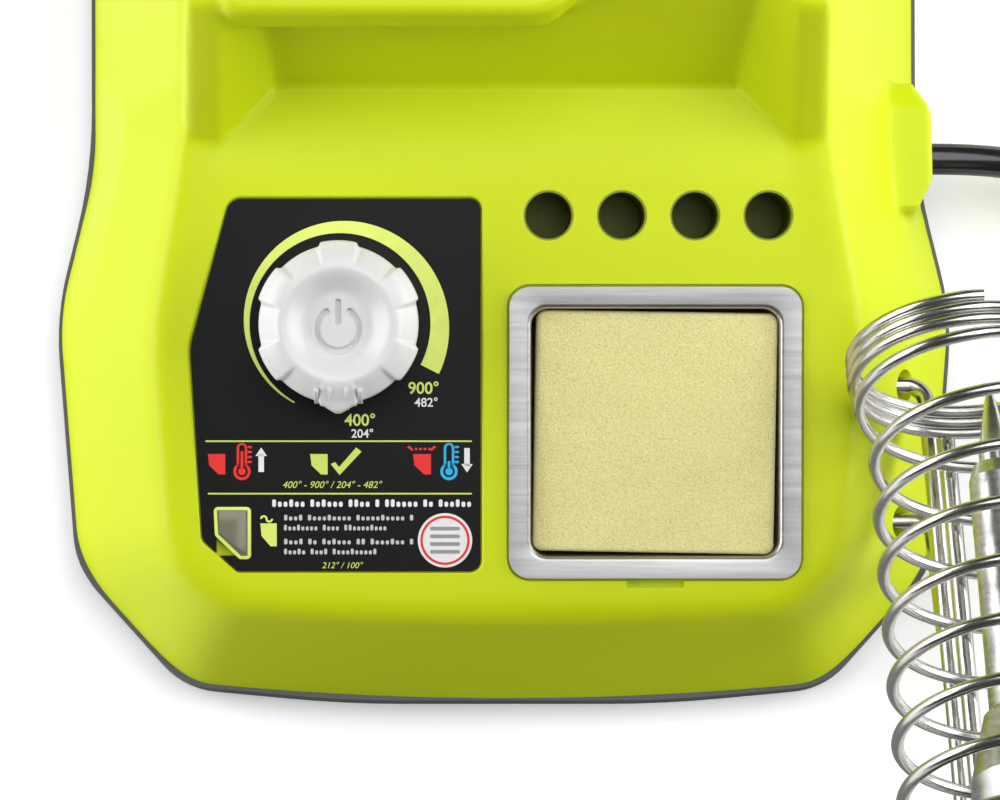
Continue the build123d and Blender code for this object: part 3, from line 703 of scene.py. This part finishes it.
PRINT = PANEL_W
HOT_U, COLD_U, ICON_V = -52.95, -11.5, 27.6
DISC_U, DISC_V = -12.3, 15.3
TICK = [(-35.2, 30.6), (-34.3, 31.0), (-33.5, 30.0), (-30.1, 33.9), (-29.0, 33.1), (-33.4, 28.4)]
flat_shape("panel_rules", [bar(-60.3, -6.9, 35.17, 0.32), bar(-59.8, -6.9, 24.65, 0.32)], mat_pale, PRINT)
flat_shape("icon_red", [window_shape(-59.8, 28.5, 3.5, 4.1), window_shape(-18.7, 28.5, 3.6, 4.1)]
           + [ring2d(0.28, -18.1 + 0.9 * k, 33.6, 12) for k in range(4)]
           + [[(-19.9, 34.0), (-19.4, 34.3), (-18.6, 33.4), (-18.9, 33.2)],
              [(-14.0, 34.0), (-15.0, 33.2), (-15.3, 33.4), (-14.5, 34.3)]]
           + thermometer(HOT_U, ICON_V), mat_red, PRINT)
flat_shape("icon_blue", thermometer(COLD_U, ICON_V), mat_blue, PRINT)
hollow_a, fill_a = thermometer_hollow(HOT_U, ICON_V, 3.6)
hollow_b, fill_b = thermometer_hollow(COLD_U, ICON_V, 1.6)
flat_shape("icon_hollows", hollow_a + hollow_b, mat_panel, PRINT + 0.02)
flat_shape("icon_red_fill", fill_a, mat_red, PRINT + 0.04)
flat_shape("icon_blue_fill", fill_b, mat_blue, PRINT + 0.04)
flat_shape("icon_white", arrow(-49.1, 31.4, 1) + arrow(-7.9, 31.4, -1), mat_white, PRINT)
flat_shape("icon_lime", [window_shape(-39.3, 28.5, 3.5, 4.1), TICK], mat_pale, PRINT)
number("scale_900", "900°", -19.7, 44.7, 3.3, mat_scale, bold=0.05)
number("scale_482", "482°", -18.4, 42.1, 2.5, mat_white, bold=0.03)
number("scale_400", "400°", -32.4, 38.3, 3.3, mat_scale, bold=0.05)
number("scale_204", "204°", -31.1, 35.9, 2.4, mat_white, bold=0.03)
number("scale_range", "400° - 900° / 204° - 482°", -44.9, 25.8, 1.95, mat_pale, slant=0.25)
flat_shape("print_heading", words(-47.1, -6.9, 22.75, 1.5, [6, 6, 4, 1, 6, 2, 6]), mat_white, PRINT)
small_print = [
    (-18.5, 19.85, [4, 9, 10, 1]),
    (-23.9, 17.85, [8, 4, 10]),
    (-18.5, 15.05, [4, 2, 6, 2, 7, 1]),
    (-25.9, 13.05, [5, 4, 10]),
]
marks = [mark for end, v, lengths in small_print for mark in words(-44.7, end, v, 1.15, lengths)]
flat_shape("print_lines", marks,
           mat_soft_white, PRINT, 0.03)
number("scale_low", "212° / 100°", -37.0, 9.7, 1.75, mat_pale, slant=0.25)
flat_shape("icon_saving", [window_shape(-49.3, 14.1, 3.3, 4.6), band(0.35, 0.75, -48.6, 19.6, 0, 180, 12),
                           band(0.35, 0.75, -47.5, 19.6, 180, 360, 12)], mat_scale, PRINT)
flat_shape("disc_face", [ring2d(5.45, DISC_U, DISC_V, 56)], mat_white, PRINT)
flat_shape("disc_ring", [band(4.45, 4.95, DISC_U, DISC_V, 0, 359.9, 72)], mat_red, PRINT + 0.02)
flat_shape("disc_bars", [bar(-15.3, -9.3, 13.0 + 1.55 * k, 0.75) for k in range(4)],
           mat_print_grey, PRINT + 0.02)
WINDOW = [(-58.55, 21.9), (-58.3, 16.3), (-53.4, 11.6), (-51.25, 11.6), (-51.25, 21.9)]
window_rim = round_corners(WINDOW, [0.8, 0.7, 0.7, 0.8, 0.8], 5)
rim_parts = skin([[deck(u, v, w) for u, v in grown(window_rim, g)]
                  for g, w in ((0.12, PRINT), (0.05, PRINT + 0.42),
                                (-0.45, PRINT + 0.5), (-0.62, PRINT + 0.3))])
rim = tool("window_rim", [rim_parts])
rim.data.materials[0] = mat_scale
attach(smooth(rim), "station")
lens = stack([(grown(window_rim, -0.55), PRINT), (grown(window_rim, -0.6), PRINT + 0.36),
              (grown(window_rim, -0.9), PRINT + 0.44)])
lens_obj = tool("window_lens", [lens])
lens_obj.data.materials[0] = mat_smoke
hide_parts("status_window")
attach(smooth(lens_obj), "station")


# ---------------------------------------------------------------- knob
KNOB_W = PANEL_W + 1.6       # underside of the knob, clear of the panel


def from_scoop(angle):
    """Degrees from the middle of the nearest of the knob's six finger scoops."""
    return abs(((math.degrees(angle) + 30) % 60) - 30)


def knob_height(r, angle):
    """Top surface of the knob: dished centre, raised rim and outward slope with finger scoops."""
    scoop = 1 - min(max((from_scoop(angle) - 14) / 2.5, 0), 1)
    if r <= 5.9:
        top = 12.35
    elif r <= 11.3:
        share = (r - 5.9) / 5.4
        top = 12.35 + 2.65 * share * share * (3 - 2 * share)
    else:
        share = (r - 11.3) / 5.1
        top = 15.0 - 3.1 * share ** 1.7
        top -= scoop * 1.5 * min(share * 2.2, 1) * (0.35 + 0.65 * share)
    return top - power_groove(r * math.cos(angle), r * math.sin(angle))


def power_groove(u, v):
    """Depth of the sunk standby symbol at a point."""
    v -= -1.1
    r = math.hypot(u, v)
    angle = math.degrees(math.atan2(u, v))
    arc = abs(r - 4.2) if abs(angle) > 33 else min(
        math.hypot(u - s * 4.2 * math.sin(math.radians(33)), v - 4.2 * math.cos(math.radians(33)))
         for s in (-1, 1))
    stem = math.hypot(u, v - min(max(v, 1.6), 5.4))
    gap = min(arc, stem)
    return 0.75 * (1 - min(max((gap - 0.5) / 0.2, 0), 1))


def knob_radius(angle):
    """Skirt radius: stepped lobes and a pointer towards the front."""
    lobe = min(max((from_scoop(angle) - 15.5) / 2.5, 0), 1)
    front = abs((math.degrees(angle) + 270) % 360 - 180)
    nose = 1.15 * (1 - min(max((front - 1.5) / 8, 0), 1))
    return 15.75 + 0.75 * lobe * lobe * (3 - 2 * lobe) + nose


def make_knob():
    count = 288
    radii = [0.2 * k for k in range(1, 54)] + [10.9, 11.3, 11.8, 12.4, 13.0, 13.6, 14.2, 14.8, 15.3]
    angles = [2 * math.pi * k / count for k in range(count)]
    loops = []
    base_w = KNOB_W
    for r in radii:
        loops.append([deck(DIAL_U + r * math.cos(a), DIAL_V + r * math.sin(a), base_w + knob_height(r, a))
                      for a in angles])
    for share, drop in ((0.55, 0.25), (0.85, 0.7), (1.0, 1.6), (1.0, 6.0), (1.0, 10.2)):
        loop = []
        for a in angles:
            edge = knob_radius(a)
            r = 15.3 + (edge - 15.3) * share
            loop.append(deck(DIAL_U + r * math.cos(a), DIAL_V + r * math.sin(a),
                             base_w + max(knob_height(15.3, a) - drop, 0.3)))
        loops.append(loop)
    loops.append([deck(DIAL_U + (knob_radius(a) - 0.3) * math.cos(a),
                       DIAL_V + (knob_radius(a) - 0.3) * math.sin(a),
                       base_w) for a in angles])
    loops.append([deck(DIAL_U + 3.1 * math.cos(a), DIAL_V + 3.1 * math.sin(a), base_w) for a in angles])
    verts, faces = skin(loops, True, False)
    centre = len(verts)
    verts.append(deck(DIAL_U, DIAL_V, base_w + knob_height(0, 0)))
    faces += [(centre, k, (k + 1) % count) for k in range(count)]
    obj = tool("knob_body", [(verts, faces)])
    obj.data.materials[0] = mat_knob
    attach(smooth(obj, 50), "knob")
    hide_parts("temperature_knob")


def knob_rib(name, u, width, v0, v1):
    """Raised rib down the pointer's slope."""
    base_w = KNOB_W
    levels = []
    for k in range(9):
        share = k / 8
        v = v0 + (v1 - v0) * share
        top = base_w + 14.7 - 4.2 * share ** 1.4
        swell = 0.5 * min(1, 6 * share) * min(1, 6 * (1 - share))
        levels.append([deck(DIAL_U + u + s * width / 2, DIAL_V + v, w)
                       for s, w in ((-1, top - 2.5), (-0.9, top + swell * 0.6), (-0.5, top + swell),
                                    (0.5, top + swell), (0.9, top + swell * 0.6), (1, top - 2.5))])
    obj = tool(name, [skin(levels)])
    obj.data.materials[0] = mat_knob
    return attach(smooth(obj, 60), "knob")


make_knob()
knob_rib("knob_rib_left", -4.3, 1.0, -12.6, -15.7)
knob_rib("knob_rib_right", 4.3, 1.0, -12.6, -15.7)
knob_rib("pointer_side_left", -1.6, 0.9, -12.2, -16.9)
knob_rib("pointer_side_right", 1.6, 0.9, -12.2, -16.9)


# ---------------------------------------------------------------- sponge tray and sponge
def make_tray():
    profile = [(29.35, 4.3, 0.05), (29.35, 4.3, 0.55), (29.15, 4.1, 0.80),
               (25.75, 3.7, 0.80), (25.4, 3.7, 0.74),
               (25.1, 3.6, 0.55), (24.9, 3.5, 0.2), (24.8, 3.4, -0.4), (24.7, 3.3, -11.2), (24.3, 3.0, -12.8),
               (23.3, 2.6, -13.8), (21.5, 2.2, -14.15)]
    loops = [[deck(u, v, w) for u, v in rounded_rect(2 * half, 2 * half, radius, TRAY_U, TRAY_V, 10)]
             for half, radius, w in profile]
    verts, faces = skin(loops, True, False)
    faces.append(tuple(range(len(verts) - len(loops[0]), len(verts))))
    obj = piece("tray_sheet", verts, faces, mat_tray)
    edit = bmesh.new()
    edit.from_mesh(obj.data)
    bmesh.ops.recalc_face_normals(edit, faces=edit.faces)
    if sum(f.normal.z * f.calc_area() for f in edit.faces) < 0:
        bmesh.ops.reverse_faces(edit, faces=edit.faces)
    edit.to_mesh(obj.data)
    edit.free()
    thick = obj.modifiers.new("sheet", "SOLIDIFY")
    thick.thickness = 0.0006
    thick.offset = -1
    bake(obj)
    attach(smooth(obj, 40), "tray")
    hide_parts("sponge_tray")


def make_sponge():
    """Cellulose pad: slightly crowned and turned, with soft corners and faintly wavy sides."""
    half, thick = 24.25, 12.9
    rng = np.random.default_rng(7)
    bumps = rng.normal(size=(12, 12))
    loops = []
    base_w = -15 + 0.8 + 0.15
    turn = math.radians(-1)

    def hill(s, t):
        i, j = (s + 1) * 5.49, (t + 1) * 5.49
        a, b = int(i), int(j)
        f, g = i - a, j - b
        return ((bumps[a, b] * (1 - f) + bumps[a + 1, b] * f) * (1 - g)
                + (bumps[a, b + 1] * (1 - f) + bumps[a + 1, b + 1] * f) * g)

    outline = rounded_rect(2 * half, 2 * half, 1.9, 0, 0, 10)
    dense = []
    for k, (u, v) in enumerate(outline):
        u2, v2 = outline[(k + 1) % len(outline)]
        pieces = max(int(math.hypot(u2 - u, v2 - v) / 0.7), 1)
        dense += [(u + (u2 - u) * n / pieces, v + (v2 - v) * n / pieces) for n in range(pieces)]
    levels = [(0.985, 0.0), (0.997, 0.8), (1.0, 2.5), (0.998, 6.0), (1.0, 9.5), (0.996, thick - 1.0),
              (0.988, thick - 0.3), (0.972, thick)] + [(0.95 - 0.03 * k, thick) for k in range(31)]
    for scale, height in levels:
        loop = []
        for u, v in dense:
            s, t = u * scale / half, v * scale / half
            wave = 0.12 * hill(s * 0.98, t * 0.98)
            crown = 0.45 * (1 - s * s) * (1 - t * t)
            top = height / thick
            grow = 1 + 0.0035 * wave * (1 if 0.1 < top < 0.95 else 0)
            p, q = u * scale * grow, v * scale * grow
            w = base_w + height + (wave + crown) * max(0, (top - 0.8) / 0.2)
            loop.append(deck(TRAY_U + 0.1 + p * math.cos(turn) - q * math.sin(turn),
                             TRAY_V + p * math.sin(turn) + q * math.cos(turn), w))
        loops.append(loop)
    obj = tool("sponge_pad", [skin(loops)])
    obj.data.materials[0] = mat_sponge
    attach(smooth(obj, 60), "sponge_body")
    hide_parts("sponge")


make_tray()
make_sponge()


# ---------------------------------------------------------------- lead
COIL_X, COIL_Y = 165.0, 54.0
OUTER, INNER, LAYER = 38.3, 32.7, 6.6
REST_Z = 3.6
route = [(88, LUG_Y, LUG_Z), (104, LUG_Y, LUG_Z), (116, 96.4, 10.2), (126, 93.3, 3.7),
         (142, 93.3, REST_Z), (154, 93.3, REST_Z)]
TURNS, PER_TURN = 3.25, 16
for k in range(int(TURNS * PER_TURN) + 1):
    turn = k / PER_TURN
    inward = min(max((turn - 0.78) / 0.18, 0), 1) - min(max((turn - 2.78) / 0.18, 0), 1)
    upward = min(max((turn - 1.78) / 0.18, 0), 1)
    radius = (OUTER + (INNER - OUTER) * inward) / math.cos(math.pi / PER_TURN) ** 2
    angle = math.pi / 2 - 2 * math.pi * turn
    route.append((COIL_X + radius * math.cos(angle), COIL_Y + radius * math.sin(angle),
                  REST_Z + LAYER * upward))
route += [(204.3, 36, 8.6), (204.3, 20, 4.2), (204.3, -8, REST_Z), (195, -54, REST_Z), (176, -97, REST_Z),
          (164, -138, REST_Z), (158, -176, REST_Z), (147, -210, REST_Z), (132, -238, 9), (117, -258, 34),
          (108, -264, 66), (103.5, -257, 98), (101.5, -237, 122), (100.57, -204.25, 135.98),
           (99.92, -181.25, 129.16)]
curve = bpy.data.curves.new("lead_route", "CURVE")
curve.dimensions = "3D"
curve.resolution_u = 6
spline = curve.splines.new("NURBS")
spline.points.add(len(route) - 1)
for point, place in zip(spline.points, route):
    point.co = (*at(*place), 1)
spline.order_u = 3
spline.use_endpoint_u = True
holder = bpy.data.objects.new("lead_route", curve)
bpy.context.scene.collection.objects.link(holder)
bpy.context.view_layer.update()
line = bpy.data.meshes.new_from_object(holder)
curve.bevel_depth = 3.3 * MM
curve.bevel_resolution = 6
curve.use_fill_caps = True
bpy.context.view_layer.update()
tube = bpy.data.meshes.new_from_object(holder)
bpy.data.objects.remove(holder)
tube.materials.clear()
tube.materials.append(mat_cord)
lead = bpy.data.objects.new("iron_lead", tube)
bpy.context.scene.collection.objects.link(lead)
smooth(lead, 60)
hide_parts("cord_base_lead", "cord_coil", "cord_iron_lead")
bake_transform(lead)


# ---------------------------------------------------------------- floor, light and camera
def area_light(name, place, aim, size, power):
    data = bpy.data.lights.new(name, "AREA")
    data.shape = "RECTANGLE"
    data.size, data.size_y = size
    data.energy = power
    obj = bpy.data.objects.new(name, data)
    obj.location = place
    obj.rotation_euler = (Vector(aim) - Vector(place)).to_track_quat("-Z", "Y").to_euler()
    bpy.context.scene.collection.objects.link(obj)


def studio_floor():
    """Pale to the camera; light that bounces off it is bright beside the station and dim elsewhere."""
    m = Nodes("studio_floor", (0.95, 0.95, 0.95), 0.95, Specular_IOR_Level=0.0, Emission_Strength=0.22)
    m.set("Emission Color", (1, 1, 1, 1))
    split = m.tree.nodes.new("ShaderNodeSeparateXYZ")
    m.link(m.coords, split, "Vector")
    side = m.tree.nodes.new("ShaderNodeMath")
    side.operation = "ABSOLUTE"
    m.link(split.outputs["X"], side, 0)
    spread = m.tree.nodes.new("ShaderNodeMapRange")
    for socket, value in (("From Min", 0.07), ("From Max", 0.115), ("To Min", 0.04), ("To Max", 0.98)):
        spread.inputs[socket].default_value = value
    m.link(side.outputs[0], spread, "Value")
    mix = m.tree.nodes.new("ShaderNodeMix")
    mix.data_type = "RGBA"
    mix.inputs["B"].default_value = (0.95, 0.95, 0.95, 1)
    seen = m.tree.nodes.new("ShaderNodeLightPath").outputs["Is Camera Ray"]
    m.tree.links.new(seen, mix.inputs["Factor"])
    m.tree.links.new(spread.outputs["Result"], mix.inputs["A"])
    m.tree.links.new(mix.outputs["Result"], m.shader.inputs["Base Color"])
    return m.material


reach = 4.0
corners = [(-reach, -reach, 0), (reach, -reach, 0), (reach, reach, 0), (-reach, reach, 0)]
floor = piece("studio_floor", corners, [(0, 1, 2, 3)], studio_floor())

centre = at(0, 80, 40)
area_light("left_box", centre + Vector((-0.98, 0.05, 0.38)), centre, (1.2, 0.6), 10.8)
area_light("right_box", centre + Vector((0.98, 0.05, 0.38)), centre, (1.2, 0.6), 11.0)
area_light("overhead", centre + Vector((0.24, 0.22, 1.3)), centre, (1.2, 1.2), 12.0)
world = bpy.data.worlds.new("studio")
world.use_nodes = True
world.node_tree.nodes["Background"].inputs["Color"].default_value = (1, 1, 1, 1)
world.node_tree.nodes["Background"].inputs["Strength"].default_value = 0.05
bpy.context.scene.world = world
bpy.context.scene.view_settings.view_transform = "Standard"

camera_data = bpy.data.cameras.new("camera")
camera_data.lens = 144
camera_data.sensor_width = 36
camera_data.shift_x = 0.05
camera_data.clip_start = 0.05
camera = bpy.data.objects.new("camera", camera_data)
camera.location = at(-11.3, -103.3, 829.6)
camera.rotation_euler = Euler((math.radians(10.5), 0, 0))
bpy.context.scene.collection.objects.link(camera)
bpy.context.scene.camera = camera
